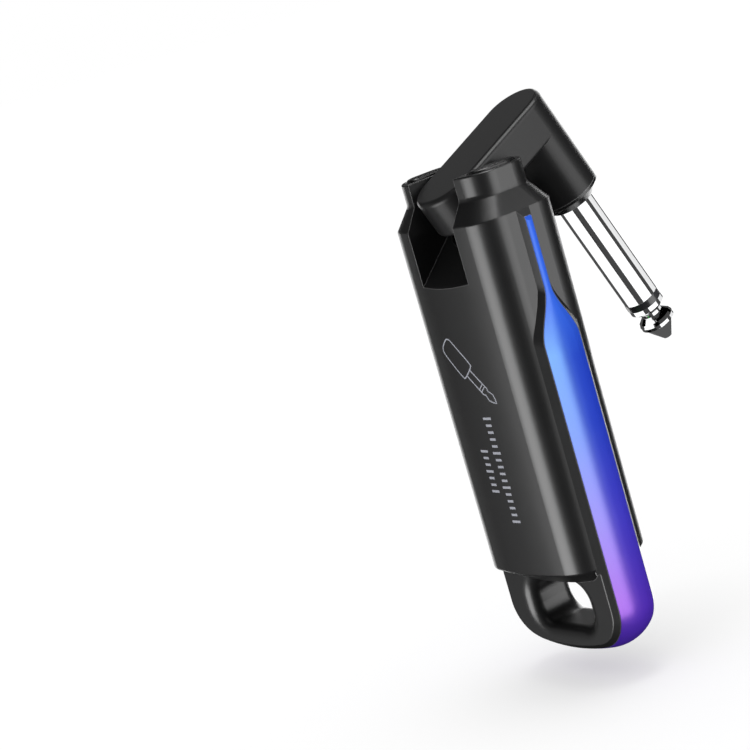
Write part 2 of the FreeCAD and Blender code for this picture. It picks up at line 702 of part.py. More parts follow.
def friction_washers():
    """Thin spring washers between the arm's cheeks and the ears."""
    washer = tube((ARM_HALF_W + 0.04, PIVOT_Y, PIVOT_Z), (1, 0, 0), 3.5, PIN_R + RUNNING_GAP, 0.22)
    return both_sides(washer)


def collar():
    """Chamfered ring that closes the barrel round the plug."""
    face = ARM_HALF_W - 1.25
    ring = plug_rod(ARM_HALF_W, BARREL_END_V - 0.5, BARREL_END_V)
    taper_base = uv(PLUG_U, COLLAR_END_V)
    taper = Part.makeCone(face, ARM_HALF_W, BARREL_END_V - 0.5 - COLLAR_END_V, taper_base, vec(0, 0, 1))
    spigot = plug_rod(FLANGE_R, BARREL_END_V, FLANGE_V[0])
    return fuse([ring, taper, spigot]).cut(plug_rod(SHANK_R, COLLAR_END_V, FLANGE_V[0]))


def plug_ring_v():
    """Heights of the insulator ring's two faces."""
    tip_v = COLLAR_END_V - PLUG_LENGTH
    centre = tip_v + RING_CENTRE
    return centre - RING_LENGTH / 2, centre + RING_LENGTH / 2


def plug_sleeve():
    """Outer contact of the plug, with its shank and flange inside the barrel."""
    ring_top = plug_ring_v()[1]
    contact = plug_rod(PLUG_R, ring_top, COLLAR_END_V)
    shank = plug_rod(SHANK_R, COLLAR_END_V, SHANK_TOP_V)
    flange = plug_rod(FLANGE_R, *FLANGE_V)
    return fuse([contact, shank, flange]).cut(plug_rod(TUBE_R, ring_top, SHANK_TOP_V))


def insulator_ring():
    low, high = plug_ring_v()
    return plug_rod(PLUG_R, low, high).cut(plug_rod(TUBE_R, low, high))


def insulator_tube():
    """Moulded tube between the sleeve and the tip's rod."""
    low = plug_ring_v()[0]
    return plug_rod(TUBE_R, low, TUBE_TOP_V).cut(plug_rod(ROD_R, low, TUBE_TOP_V))


def plug_tip():
    """Turned tip: rim, groove, ball shoulder and cone, with the rod that runs back inside."""
    rim_v = plug_ring_v()[0]
    tip_v = COLLAR_END_V - PLUG_LENGTH
    shoulder_r = PLUG_R - 0.05
    outline = [
        (0, rim_v), (PLUG_R, rim_v), (PLUG_R, rim_v - 0.9), (PLUG_R - 0.35, rim_v - 1.25),
        (NECK_R, rim_v - 1.9), (NECK_R, rim_v - 2.5), (shoulder_r - 0.25, rim_v - 3.3),
        (shoulder_r, rim_v - 3.9), (shoulder_r, rim_v - 4.5), (shoulder_r - 0.4, rim_v - 5.1),
        (0.9, tip_v + 0.35), (0.45, tip_v + 0.05), (0, tip_v),
    ]
    points = [uv(PLUG_U - r, v) for r, v in outline]
    profile = Part.Face(Part.makePolygon(points + points[:1]))
    tip = profile.revolve(uv(PLUG_U, 0), vec(0, 0, 1), 360)
    return tip


def tip_rod():
    """Rod that carries the tip's signal back to its lug."""
    return plug_rod(ROD_R, plug_ring_v()[0], ROD_END_V)


def solder_lugs():
    """Tip lug on the rod's end and sleeve lug on the shank's end."""
    eye = plug_rod(1.4, ROD_END_V, ROD_END_V + LUG_T)
    corner = uv(PLUG_U, ROD_END_V)
    tongue = box((-0.7, corner.y, corner.z), (0.7, corner.y + 3.2, corner.z + LUG_T))
    washer = plug_rod(3.1, SHANK_TOP_V, SHANK_TOP_V + LUG_T)
    washer = washer.cut(plug_rod(TUBE_R, SHANK_TOP_V, SHANK_TOP_V + LUG_T))
    return Part.makeCompound([swing(fuse([eye, tongue])), swing(washer)])


def wire_run(points, radius):
    """Insulated lead as straight runs with round elbows."""
    pieces = []
    for a, b in zip(points, points[1:]):
        pieces.append(Part.makeCylinder(radius, (b - a).Length, a, b - a))
    for joint in points[1:-1]:
        pieces.append(Part.makeSphere(radius, joint))
    return fuse(pieces)


def arm_lead():
    """Screened lead from the lugs to the pivot, then along the pivot's axis."""
    lug_u = PLUG_U - 2.6
    end_x = SLOT_HALF_W - 0.1
    points = [uv(lug_u, ROD_END_V + LUG_T), uv(lug_u, 0), uv(0, 0), uv(0, 0, end_x)]
    return swing(wire_run(points, LEAD_R))


def body_lead():
    """The same lead beyond the pivot: along the pin's bore, then down the ear to the board."""
    pad_x = BOARD_HALF_W - 0.8
    points = [
        vec(SLOT_HALF_W, PIVOT_Y, PIVOT_Z),
        vec(LEAD_DROP_X, PIVOT_Y, PIVOT_Z),
        vec(LEAD_DROP_X, PIVOT_Y, LEAD_PAD_Z),
        vec(pad_x, BOARD_Y[1] + 1.0, LEAD_PAD_Z),
        vec(pad_x, BOARD_Y[1], LEAD_PAD_Z),
    ]
    return wire_run(points, LEAD_R)


# ---- assembly ----

def housing_shells(outside, trim):
    """Outer envelope, hollowed, slotted and split down the middle into front and rear shells."""
    cavity_wire = crowned_section(BODY_BOTTOM_Z + WALL, BODY_HALF_W - WALL, BODY_HALF_D - WALL,
                                  BODY_CORNER_R - WALL)
    cavity = prism(cavity_wire, CAVITY_TOP_Z - BODY_BOTTOM_Z - WALL)
    socket_room = box((6.2, -5.5, 59.0), (BODY_HALF_W - 0.9, SOCKET_Y + 1.6, SOCKET_Z + 4.2))
    cap_recess = ear_cap_blank(2.0, EAR_TOP_Z - 0.7, 0.8)
    tools = [slot(), cavity, socket_room, socket_block(5, BIG, 0.06)]
    tools += [both_sides(piece) for piece in (cap_recess, pin_hole(), lock_screw_hole())]
    tools += [lead_duct(), rod((0, 0, BUTTON_Z), (0, -1, 0), RING_OUT_R, BIG), light_window(9.0), trim]
    shell = outside
    for tool in tools:
        shell = shell.cut(tool)
    front = shell.common(box((-BIG, -BIG, -1), (BIG, 0, BIG * 2)))
    rear = shell.common(box((-BIG, 0, -1), (BIG, BIG, BIG * 2)))
    return front, rear


def write(name, shape):
    placed = shape.copy()
    placed.translate(vec(0, -ROOT_Y, -ROOT_Z))
    placed.exportStep("parts/" + name + ".step")
    solids = len(placed.Solids)
    print("%-18s solids %d  volume %9.2f mm3  valid %s" % (name, solids, placed.Volume, placed.isValid()))


def main():
    os.makedirs("parts", exist_ok=True)
    outside = envelope()
    trim = side_trim()
    front, rear = housing_shells(outside, trim)
    write("front_shell", front)
    write("rear_shell", rear)
    write("side_trim", trim.cut(light_window(TRIM_BACK - 1)))
    write("light_bar", light_bar())
    write("light_ring", light_ring(outside))
    write("ear_cap_right", ear_cap())
    write("ear_cap_left", ear_cap().mirror(vec(0, 0, 0), vec(1, 0, 0)))
    write("pivot_pin_right", pivot_pin())
    write("pivot_pin_left", pivot_pin().mirror(vec(0, 0, 0), vec(1, 0, 0)))
    write("pin_lock_screws", both_sides(lock_screw()))
    write("friction_washers", friction_washers())
    write("socket_shell", socket_shell())
    write("socket_tongue", socket_tongue())
    write("socket_contacts", socket_contacts())
    write("main_board", main_board())
    write("tact_switch", tact_switch())
    write("ring_lamps", ring_lamps())
    write("bar_lamps", bar_lamps())
    write("shield_can", shield_can())
    write("chips", chips())
    write("antenna", antenna())
    write("battery_cell", battery_cell())
    write("battery_pad", battery_pad())
    write("body_lead", body_lead())
    write("power_button", power_button(outside))
    write("switch_plunger", switch_plunger())
    write("arm_shell", swing(arm_shell()))
    write("arm_cover", swing(arm_cover()))
    write("arm_cover_screws", cover_screws())
    write("pivot_bushes", swing(bushes()))
    write("plug_collar", swing(collar()))
    write("plug_sleeve", swing(plug_sleeve()))
    write("insulator_ring", swing(insulator_ring()))
    write("insulator_tube", swing(insulator_tube()))
    write("plug_tip", swing(plug_tip()))
    write("tip_rod", swing(tip_rod()))
    write("solder_lugs", solder_lugs())
    write("arm_lead", arm_lead())
    print("plug root at y %.4f z %.4f above the working datum" % (ROOT_Y, ROOT_Z))


main()
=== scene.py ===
"""The looks of a pocket guitar transmitter with a folding jack-plug arm, built around its CAD model.

Everything is in metres in the CAD model's own frame: Z runs up the housing and +Y is its back.
A size written as a number times MM, or an argument whose name ends in _mm, is in millimetres.
"""

import json
import math

import bmesh
import bpy
from mathutils import Matrix, Quaternion, Vector


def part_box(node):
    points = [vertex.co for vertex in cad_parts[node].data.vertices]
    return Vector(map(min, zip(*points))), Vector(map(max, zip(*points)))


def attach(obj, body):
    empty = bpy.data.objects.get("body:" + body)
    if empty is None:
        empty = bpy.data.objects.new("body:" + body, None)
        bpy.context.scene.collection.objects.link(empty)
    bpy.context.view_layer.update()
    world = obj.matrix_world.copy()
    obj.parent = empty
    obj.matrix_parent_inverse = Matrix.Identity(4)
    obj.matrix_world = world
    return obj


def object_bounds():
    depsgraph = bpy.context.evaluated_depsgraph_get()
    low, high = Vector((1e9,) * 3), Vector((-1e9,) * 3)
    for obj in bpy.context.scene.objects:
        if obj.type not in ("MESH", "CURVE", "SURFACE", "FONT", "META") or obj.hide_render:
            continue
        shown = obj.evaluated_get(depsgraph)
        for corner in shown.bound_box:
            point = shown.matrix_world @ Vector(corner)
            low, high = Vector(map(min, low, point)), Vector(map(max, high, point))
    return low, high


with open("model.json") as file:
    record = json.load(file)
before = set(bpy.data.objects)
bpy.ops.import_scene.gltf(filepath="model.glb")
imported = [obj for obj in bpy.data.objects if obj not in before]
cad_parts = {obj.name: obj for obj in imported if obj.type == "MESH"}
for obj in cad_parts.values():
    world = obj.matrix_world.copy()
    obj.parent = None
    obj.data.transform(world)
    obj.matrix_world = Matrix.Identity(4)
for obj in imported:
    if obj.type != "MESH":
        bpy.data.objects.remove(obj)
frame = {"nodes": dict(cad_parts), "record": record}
CAD_LOW, CAD_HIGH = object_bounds()

MM = 0.001
NODES = frame["nodes"]
CENTRE = (CAD_LOW + CAD_HIGH) / 2

# The housing's middle between its sides and between its faces, and the lowest point of its trim.
HOUSING_X = (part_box("front_shell")[0].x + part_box("front_shell")[1].x) / 2
HOUSING_Y = (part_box("front_shell")[0].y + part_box("rear_shell")[1].y) / 2
HOUSING_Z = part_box("side_trim")[0].z
HALF_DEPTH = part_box("rear_shell")[1].y - HOUSING_Y
CROWN_R = 40 * MM                      # the back and the front are crowned across by this radius
BACK = 1
FRONT = -1

# The camera, which looks at the housing's back and its -X side.
CAMERA_PLACE = Vector((-0.26483, 0.22538, 0.04783))
CAMERA_HEADING = math.radians(123.904)      # from +Y towards +X
CAMERA_DROP = math.radians(10.929)
CAMERA_ROLL = math.radians(-16.555)
CAMERA_LENS = 101.66
SENSOR = 36.0


# ---------------------------------------------------------------- materials

EDGE_COSINE = 0.80                     # cosine of a rounded normal's turn that counts as fully on an edge
FACE_COSINE = 0.995                    # and as fully on an open face
SEAM_MARGIN = 1.1                      # a seam stays flat a little wider than its rounding would reach
EDGE_HIGHLIGHT_PAINT = 0.12                       # how much paler moulded plastic is painted along its edges: a painted highlight for light caught on each edge's rounding
EDGE_POLISH = 0.07                     # and how much smoother


class Surface:
    """One material's node tree, with short calls for what the finishes below share."""

    def __init__(self, name):
        self.material = bpy.data.materials.new(name)
        self.material.use_nodes = True
        self.tree = self.material.node_tree
        self.tree.nodes.clear()
        self.shader = self.node("ShaderNodeBsdfPrincipled")
        self.output = self.node("ShaderNodeOutputMaterial")
        self.link(self.shader.outputs["BSDF"], self.output.inputs["Surface"])
        self.place = self.node("ShaderNodeTexCoord").outputs["Object"]

    def node(self, kind, **settings):
        made = self.tree.nodes.new(kind)
        for key, value in settings.items():
            setattr(made, key, value)
        return made

    def link(self, source, target):
        self.tree.links.new(source, target)

    def set(self, **values):
        """Sets the shader's own sockets; a name's underscores stand for spaces."""
        for key, value in values.items():
            self.shader.inputs[key.replace("_", " ")].default_value = value

    def stretched(self, stretch):
        """Object coordinates, scaled by a different number along each axis."""
        mapping = self.node("ShaderNodeMapping")
        self.link(self.place, mapping.inputs["Vector"])
        mapping.inputs["Scale"].default_value = stretch
        return mapping.outputs["Vector"]

    def noise(self, size, detail=3.0, stretch=None, distortion=0.0):
        """A noise from 0 to 1 whose blotches are about that size, in metres."""
        made = self.node("ShaderNodeTexNoise")
        self.link(self.stretched(stretch) if stretch else self.place, made.inputs["Vector"])
        made.inputs["Scale"].default_value = 1 / size
        made.inputs["Detail"].default_value = detail
        made.inputs["Distortion"].default_value = distortion
        return made.outputs["Fac"]

    def scaled(self, source, low, high, from_low=0.0, from_high=1.0):
        """A number taken from one range to another."""
        made = self.node("ShaderNodeMapRange")
        self.link(source, made.inputs["Value"])
        made.inputs["From Min"].default_value = from_low
        made.inputs["From Max"].default_value = from_high
        made.inputs["To Min"].default_value = low
        made.inputs["To Max"].default_value = high
        return made.outputs["Result"]

    def sum(self, a, b, operation="ADD"):
        made = self.node("ShaderNodeMath", operation=operation)
        self.link(a, made.inputs[0])
        self.link(b, made.inputs[1])
        return made.outputs["Value"]

    def ramp(self, source, stops, interpolation="LINEAR"):
        """A colour read off along (position, colour) stops."""
        made = self.node("ShaderNodeValToRGB")
        made.color_ramp.interpolation = interpolation
        elements = made.color_ramp.elements
        while len(elements) < len(stops):
            elements.new(0.5)
        for element, (position, colour) in zip(elements, stops):
            element.position = position
            element.color = (*colour, 1.0)
        self.link(source, made.inputs["Fac"])
        return made.outputs["Color"]

    def mixed(self, share, first, second):
        """One colour where share is 0 and the other where it is 1; each is a colour or an output."""
        made = self.node("ShaderNodeMix", data_type="RGBA")
        self.link(share, made.inputs["Factor"])
        for value, socket in ((first, made.inputs[6]), (second, made.inputs[7])):
            if isinstance(value, tuple):
                socket.default_value = (*value, 1.0)
            else:
                self.link(value, socket)
        return made.outputs[2]

    def edges(self, rounded):
        """1 on edges, where a rounded normal turns away from the mesh's own, and 0 on open faces."""
        geometry = self.node("ShaderNodeNewGeometry")
        turn = self.node("ShaderNodeVectorMath", operation="DOT_PRODUCT")
        self.link(rounded, turn.inputs[0])
        self.link(geometry.outputs["Normal"], turn.inputs[1])
        return self.scaled(turn.outputs["Value"], 1.0, 0.0, EDGE_COSINE, FACE_COSINE)

    def rounded_normal(self, radius, seam_y=None):
        """A normal that rounds sharp edges off by that radius, in metres.

        Where seam_y is given, the closed seam between two halves at that Y stays flat.
        """
        bevel = self.node("ShaderNodeBevel", samples=6)
        bevel.inputs["Radius"].default_value = radius
        if seam_y is None:
            return bevel.outputs["Normal"]
        split = self.node("ShaderNodeSeparateXYZ")
        self.link(self.place, split.inputs["Vector"])
        off = self.node("ShaderNodeMath", operation="SUBTRACT")
        self.link(split.outputs["Y"], off.inputs[0])
        off.inputs[1].default_value = seam_y
        away = self.node("ShaderNodeMath", operation="ABSOLUTE")
        self.link(off.outputs["Value"], away.inputs[0])
        clear = self.node("ShaderNodeMath", operation="GREATER_THAN")
        self.link(away.outputs["Value"], clear.inputs[0])
        clear.inputs[1].default_value = radius * SEAM_MARGIN
        geometry = self.node("ShaderNodeNewGeometry")
        chosen = self.node("ShaderNodeMix", data_type="VECTOR")
        self.link(clear.outputs["Value"], chosen.inputs["Factor"])
        self.link(geometry.outputs["Normal"], chosen.inputs[4])
        self.link(bevel.outputs["Normal"], chosen.inputs[5])
        return chosen.outputs[1]

    def bump(self, height, depth, normal=None):
        """Bends the normal by a height from 0 to 1, that deep in metres."""
        made = self.node("ShaderNodeBump")
        made.inputs["Strength"].default_value = 1.0
        made.inputs["Distance"].default_value = depth
        self.link(height, made.inputs["Height"])
        if normal:
            self.link(normal, made.inputs["Normal"])
        self.link(made.outputs["Normal"], self.shader.inputs["Normal"])


def moulded(name, colour, roughness, grain_mm, grain_depth_mm, edge_mm, seam_y=None, sheen=0.5):
    """Moulded plastic: a fine spark-eroded grain, cloudy handling marks, smoother edges and a painted
    highlight along the edges.
    """
    s = Surface(name)
    grain = s.noise(grain_mm * MM, detail=2.0)
    clouds = s.noise(7 * MM, detail=4.0, distortion=0.6)
    rounded = s.rounded_normal(edge_mm * MM, seam_y)
    edge = s.edges(rounded)
    darker = tuple(c * 0.86 for c in colour)
    lighter = tuple(c * 1.14 for c in colour)
    # The edges are painted paler: a painted highlight for the light their rounding would catch.
    painted_edge_highlight = tuple(c + EDGE_HIGHLIGHT_PAINT for c in colour)
    body = s.mixed(clouds, darker, lighter)
    s.link(s.mixed(edge, body, painted_edge_highlight), s.shader.inputs["Base Color"])
    cloudy = s.scaled(clouds, roughness - 0.015, roughness + 0.015)
    rough = s.sum(cloudy, s.scaled(grain, -0.02, 0.02))
    s.link(s.sum(rough, s.scaled(edge, 0.0, EDGE_POLISH), "SUBTRACT"), s.shader.inputs["Roughness"])
    s.set(Specular_IOR_Level=sheen)
    s.bump(grain, grain_depth_mm * MM, rounded)
    return s.material


def plated(name, colour, roughness, edge_mm, swirl):
    """Polished or satin metal: fine turning marks, a little handling haze and softened edges."""
    s = Surface(name)
    marks = s.noise(0.5 * MM, detail=3.0, stretch=swirl)
    haze = s.noise(3 * MM, detail=4.0)
    shade = s.mixed(haze, tuple(c * 0.95 for c in colour), colour)
    s.link(shade, s.shader.inputs["Base Color"])
    s.set(Metallic=1.0)
    turned = s.scaled(marks, roughness * 0.7, roughness * 1.2)
    hazy = s.scaled(haze, 0.0, roughness * 0.35)
    s.link(s.sum(turned, hazy), s.shader.inputs["Roughness"])
    s.bump(marks, 0.0012 * MM, s.rounded_normal(edge_mm * MM))
    return s.material


def anodised_gradient(name):
    """The side trim's satin paint: blue by the hinge and violet by the key loop, with a paler sheen.

    Both colour ramps run from the trim's lowest point, at 0, to its highest, at 1.
    """
    s = Surface(name)
    low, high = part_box("side_trim")
    height = s.node("ShaderNodeSeparateXYZ")
    s.link(s.place, height.inputs["Vector"])
    along = s.scaled(height.outputs["Z"], 0.0, 1.0, low.z, high.z)
    body = s.ramp(along, [
        (0.00, (0.016, 0.006, 0.120)),
        (0.10, (0.024, 0.007, 0.180)),
        (0.32, (0.013, 0.011, 0.230)),
        (0.52, (0.004, 0.015, 0.240)),
        (0.68, (0.003, 0.018, 0.250)),
        (0.80, (0.012, 0.054, 0.330)),
        (1.00, (0.012, 0.054, 0.340)),
    ])
    sheen = s.ramp(along, [
        (0.00, (0.60, 0.20, 0.95)),
        (0.14, (0.72, 0.34, 1.00)),
        (0.32, (0.60, 0.52, 1.00)),
        (0.52, (0.42, 0.62, 1.00)),
        (0.70, (0.36, 0.70, 1.00)),
        (0.80, (0.14, 0.22, 0.45)),
        (1.00, (0.10, 0.16, 0.36)),
    ])
    flakes = s.node("ShaderNodeTexVoronoi")
    s.link(s.place, flakes.inputs["Vector"])
    flakes.inputs["Scale"].default_value = 1 / (0.09 * MM)
    sparkle = s.scaled(flakes.outputs["Distance"], 0.92, 1.10, 0.0, 0.7)
    brighter = s.node("ShaderNodeVectorMath", operation="SCALE")
    s.link(body, brighter.inputs[0])
    s.link(sparkle, brighter.inputs["Scale"])
    s.link(brighter.outputs["Vector"], s.shader.inputs["Base Color"])
    s.link(sheen, s.shader.inputs["Specular Tint"])
    clouds = s.noise(5 * MM, detail=3.0)
    s.link(s.scaled(clouds, 0.30, 0.35), s.shader.inputs["Roughness"])
    s.set(IOR=2.0, Specular_IOR_Level=1.0)
    s.bump(flakes.outputs["Distance"], 0.0012 * MM, s.rounded_normal(0.12 * MM))
    return s.material


def glowing(name, colour, glow):
    """A clear light guide lit from behind, with a faint haze in it."""
    s = Surface(name)
    haze = s.noise(1.5 * MM, detail=2.0)
    s.link(s.mixed(haze, tuple(c * 0.9 for c in colour), colour), s.shader.inputs["Base Color"])
    s.link(s.mixed(haze, tuple(c * 0.88 for c in glow), glow), s.shader.inputs["Emission Color"])
    s.link(s.scaled(haze, 0.25, 0.33), s.shader.inputs["Roughness"])
    s.set(Emission_Strength=1.0)
    return s.material


def speckled(name, colour, roughness, speck_mm, contrast=0.18, depth_mm=0.004, metallic=0.0):
    """Small inner parts: a plain colour broken up by a fine speckle in shade, gloss and height."""
    s = Surface(name)
    specks = s.noise(speck_mm * MM, detail=3.0)
    low = tuple(c * (1 - contrast) for c in colour)
    high = tuple(min(1.0, c * (1 + contrast)) for c in colour)
    s.link(s.mixed(specks, low, high), s.shader.inputs["Base Color"])
    s.link(s.scaled(specks, roughness - 0.06, roughness + 0.06), s.shader.inputs["Roughness"])
    s.set(Metallic=metallic)
    s.bump(specks, depth_mm * MM, s.rounded_normal(0.05 * MM))
    return s.material


def circuit_board(name):
    """Solder mask over copper tracks, which show as a slightly raised, lighter grid."""
    s = Surface(name)
    tracks = s.node("ShaderNodeTexBrick")
    s.link(s.stretched((1, 0, 1)), tracks.inputs["Vector"])
    tracks.inputs["Scale"].default_value = 1 / (1.6 * MM)
    tracks.inputs["Mortar Size"].default_value = 0.06
    copper = s.mixed(tracks.outputs["Fac"], (0.012, 0.105, 0.05), (0.03, 0.2, 0.1))
    s.link(copper, s.shader.inputs["Base Color"])
    s.link(s.scaled(s.noise(2 * MM), 0.28, 0.4), s.shader.inputs["Roughness"])
    s.bump(tracks.outputs["Fac"], 0.02 * MM)
    return s.material


BLACK = (0.0024, 0.0024, 0.0025)
ROUND_THE_PLUG = (1.0, 1.0, 9.0)       # the plug's axis is near Z, so marks stay short along it

# Numbers after the colour: for moulded, roughness, grain size, grain depth and edge rounding; for plated,
# roughness, edge rounding and how the marks are stretched; for speckled, roughness, speck size, contrast,
# depth and how metallic it is. Sizes are in millimetres.
MATERIALS = {
    "housing": moulded("housing_plastic", BLACK, 0.31, 0.10, 0.0022, 0.14, seam_y=HOUSING_Y),
    "arm_plastic": moulded(
        "arm_plastic", (0.0038, 0.0038, 0.0039), 0.31, 0.10, 0.0024, 0.14, sheen=0.24),
    "collar": moulded("collar_plastic", (0.0022, 0.0022, 0.0023), 0.28, 0.10, 0.0020, 0.12),
    "cap_plastic": moulded("cap_plastic", (0.0024, 0.0024, 0.0025), 0.28, 0.10, 0.0022, 0.12),
    "button": moulded("button_plastic", (0.0034, 0.0034, 0.0035), 0.34, 0.12, 0.0030, 0.10),
    "trim": anodised_gradient("trim_paint"),
    "light": glowing("light_guide", (0.008, 0.20, 0.02), (0.035, 0.72, 0.055)),
    "socket_steel": plated("socket_steel", (0.55, 0.55, 0.56), 0.26, 0.05, (1, 6, 1)),
    "black_resin": moulded("black_resin", (0.010, 0.010, 0.011), 0.22, 0.14, 0.0012, 0.06),
    "gold": plated("contact_gold", (0.85, 0.62, 0.24), 0.22, 0.03, (1, 1, 6)),
    "plug_chrome": plated("plug_chrome", (0.88, 0.885, 0.89), 0.055, 0.08, ROUND_THE_PLUG),
    "brass": plated("turned_brass", (0.72, 0.52, 0.24), 0.24, 0.05, ROUND_THE_PLUG),
    "white_resin": speckled("white_resin", (0.80, 0.80, 0.77), 0.38, 0.3, 0.05),
    "pin_steel": plated("pin_steel", (0.58, 0.58, 0.59), 0.22, 0.05, (8, 1, 1)),
    "bronze": speckled("sintered_bronze", (0.55, 0.36, 0.17), 0.42, 0.12, 0.25, 0.006, 1.0),
    "spring_steel": plated("spring_steel", (0.42, 0.42, 0.43), 0.30, 0.05, (1, 8, 1)),
    "board": circuit_board("solder_mask"),
    "lamp": speckled("lamp_resin", (0.82, 0.90, 0.70), 0.20, 0.3, 0.06),
    "can": plated("shield_tin", (0.66, 0.66, 0.67), 0.34, 0.08, (1, 1, 5)),
    "chip": speckled("chip_epoxy", (0.018, 0.018, 0.019), 0.52, 0.1, 0.2),
    "white_ceramic": speckled("antenna_ceramic", (0.80, 0.80, 0.76), 0.55, 0.15, 0.07),
    "cell": speckled("cell_film", (0.62, 0.63, 0.66), 0.30, 1.2, 0.06, 0.01, 0.85),
    "foam": speckled("pad_foam", (0.07, 0.07, 0.07), 0.85, 0.35, 0.4, 0.06),
    "lead": speckled("lead_insulation", (0.045, 0.045, 0.045), 0.48, 0.25, 0.15),
}
INK = speckled("printing_ink", (0.115, 0.118, 0.135), 0.50, 0.15, 0.08, 0.003)


def dress_nodes():
    """Gives each CAD node the material that its slot names."""
    for part in frame["record"]["subparts"]:
        shown = NODES[part["node"]]
        shown.data.materials.clear()
        shown.data.materials.append(MATERIALS[part["material_slot"]])


# ---------------------------------------------------------------- printed marks

PRINT_HEIGHT = 0.012 * MM
PRINT_ROOT = 0.02 * MM                 # how far a mark goes into the face, so that it never floats
PRINT_STEP = 0.5 * MM                  # the longest straight piece of a mark on the crowned face


def on_face(across, up, lift, side):
    """A point lifted off the housing's crowned back or front, at that place on it, all in metres."""
    crown = HALF_DEPTH - across * across / (2 * CROWN_R)
    return Vector((HOUSING_X + across, HOUSING_Y + side * (crown + lift), HOUSING_Z + up))


def resampled(points, closed):
    """The same line with points close enough together to follow the face's crown."""
    line = []
    ends = list(zip(points, points[1:] + points[:1])) if closed else list(zip(points, points[1:]))
    for start, end in ends:
        start, end = Vector(start), Vector(end)
        steps = max(1, math.ceil((end - start).length / PRINT_STEP))
        line += [start.lerp(end, i / steps) for i in range(steps)]
    return line if closed else line + [Vector(points[-1])]


def add_stroke(mesh, points, width, side, closed=False):
    """A raised line of ink of that width along points, each (across, up) in metres."""
    points = resampled(list(points), closed)
    count = len(points)
    rails = []
    for i, point in enumerate(points):
        before = points[i - 1] if i or closed else point
        after = points[(i + 1) % count] if i + 1 < count or closed else point
        along = (Vector(after) - Vector(before)).normalized()
        aside = Vector((-along.y, along.x)) * width / 2
        corners = [Vector(point) + aside, Vector(point) - aside]
        rails.append([mesh.verts.new(on_face(c.x, c.y, lift, side))
                      for c in corners for lift in (PRINT_HEIGHT, -PRINT_ROOT)])
    last = count if closed else count - 1
    for i in range(last):
        here, there = rails[i], rails[(i + 1) % count]
        for a, b in ((0, 2), (2, 3), (3, 1), (1, 0)):
            mesh.faces.new((here[a], here[b], there[b], there[a]))
    if not closed:
        for end in (rails[0], rails[-1]):
            mesh.faces.new((end[0], end[2], end[3], end[1]))


def smooth_line(points, closed, steps=8):
    """A Catmull-Rom curve through points, as a list of closer points."""
    count = len(points)
    spans = count if closed else count - 1
    line = []
    for i in range(spans):
        around = [i + k for k in (-1, 0, 1, 2)]
        near = [Vector(points[k % count if closed else min(max(k, 0), count - 1)]) for k in around]
        for step in range(steps):
            t = step / steps
            line.append(0.5 * ((2 * near[1]) + (near[2] - near[0]) * t
                               + (2 * near[0] - 5 * near[1] + 4 * near[2] - near[3]) * t * t
                               + (3 * near[1] - near[0] - 3 * near[2] + near[3]) * t ** 3))
    if not closed:
        line.append(Vector(points[-1]))
    return line


def ink_piece(name, mesh):
    """Turns a finished bmesh of ink into a piece that rides on the housing."""
    bmesh.ops.recalc_face_normals(mesh, faces=mesh.faces)
    data = bpy.data.meshes.new(name)
    mesh.to_mesh(data)
    mesh.free()
    data.materials.append(INK)
    piece = bpy.data.objects.new(name, data)
    bpy.context.scene.collection.objects.link(piece)
    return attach(piece, "housing")


# Half of the plug mark's outline: (share of its length, half its width in millimetres).
MARK_GRIP = [(0.00, 0.75), (0.02, 1.35), (0.07, 1.7), (0.25, 1.75), (0.43, 1.7), (0.48, 1.3)]
MARK_SHANK = [
    (0.485, 0.72), (0.80, 0.72), (0.83, 0.45), (0.86, 0.62), (0.90, 0.74), (0.95, 0.45), (1.0, 0.0),
]
MARK_RINGS = (0.72, 0.76)
MARK_RING_HALF = 0.62
MARK_LINE = 0.24 * MM


def add_plug_outline(mesh, start, end, side):
    """An outline of a jack plug from its grip at start to its tip at end, both (across, up) in metres."""
    axis = (Vector(end) - Vector(start))
    length = axis.length
    along = axis.normalized()
    aside = Vector((-along.y, along.x))

    def at(share, half):
        return Vector(start) + along * share * length + aside * half * MM

    outline = [at(share, half) for share, half in MARK_GRIP]
    outline += [at(share, -half) for share, half in reversed(MARK_GRIP)]
    add_stroke(mesh, smooth_line(outline, True, 6), MARK_LINE, side, closed=True)
    half_line = [at(share, half) for share, half in MARK_SHANK]
    other_half = [at(share, -half) for share, half in reversed(MARK_SHANK[:-1])]
    add_stroke(mesh, half_line + other_half, MARK_LINE, side)
    for share in MARK_RINGS:
        add_stroke(mesh, [at(share, MARK_RING_HALF), at(share, -MARK_RING_HALF)], MARK_LINE * 0.8, side)


def add_meter(mesh, across, top, bottom, lengths, width, side):
    """A row of short marks across the housing from top to bottom, like a level meter's."""
    step = (top - bottom) / (len(lengths) - 1)
    for i, length in enumerate(lengths):
        up = top - i * step
        add_stroke(mesh, [(across + length / 2, up), (across - length / 2, up)], width, side)


def ticks(count, every):
    """Lengths for a meter whose first mark is long, and then each one after that many."""
    return [(1.9 if i % every == 0 else 1.35) * MM for i in range(count)]


def circle_points(middle, radius, degrees):
    """Points round a middle, at angles measured from straight down."""
    turns = [math.radians(d) for d in degrees]
    return [(middle[0] + radius * math.sin(a), middle[1] - radius * math.cos(a)) for a in turns]


def back_print():
    """The back's marks: a plug outline set aslant, and two rows of meter marks under it."""
    mesh = bmesh.new()
    tick_width = 0.42 * MM
    add_plug_outline(mesh, (4.4 * MM, 55.8 * MM), (-4.6 * MM, 45.6 * MM), BACK)
    add_meter(mesh, -1.3 * MM, 43.1 * MM, 25.5 * MM, ticks(16, 5), tick_width, BACK)
    add_meter(mesh, 1.8 * MM, 37.5 * MM, 30.6 * MM, ticks(7, 3), tick_width, BACK)
    return ink_piece("back_print", mesh)


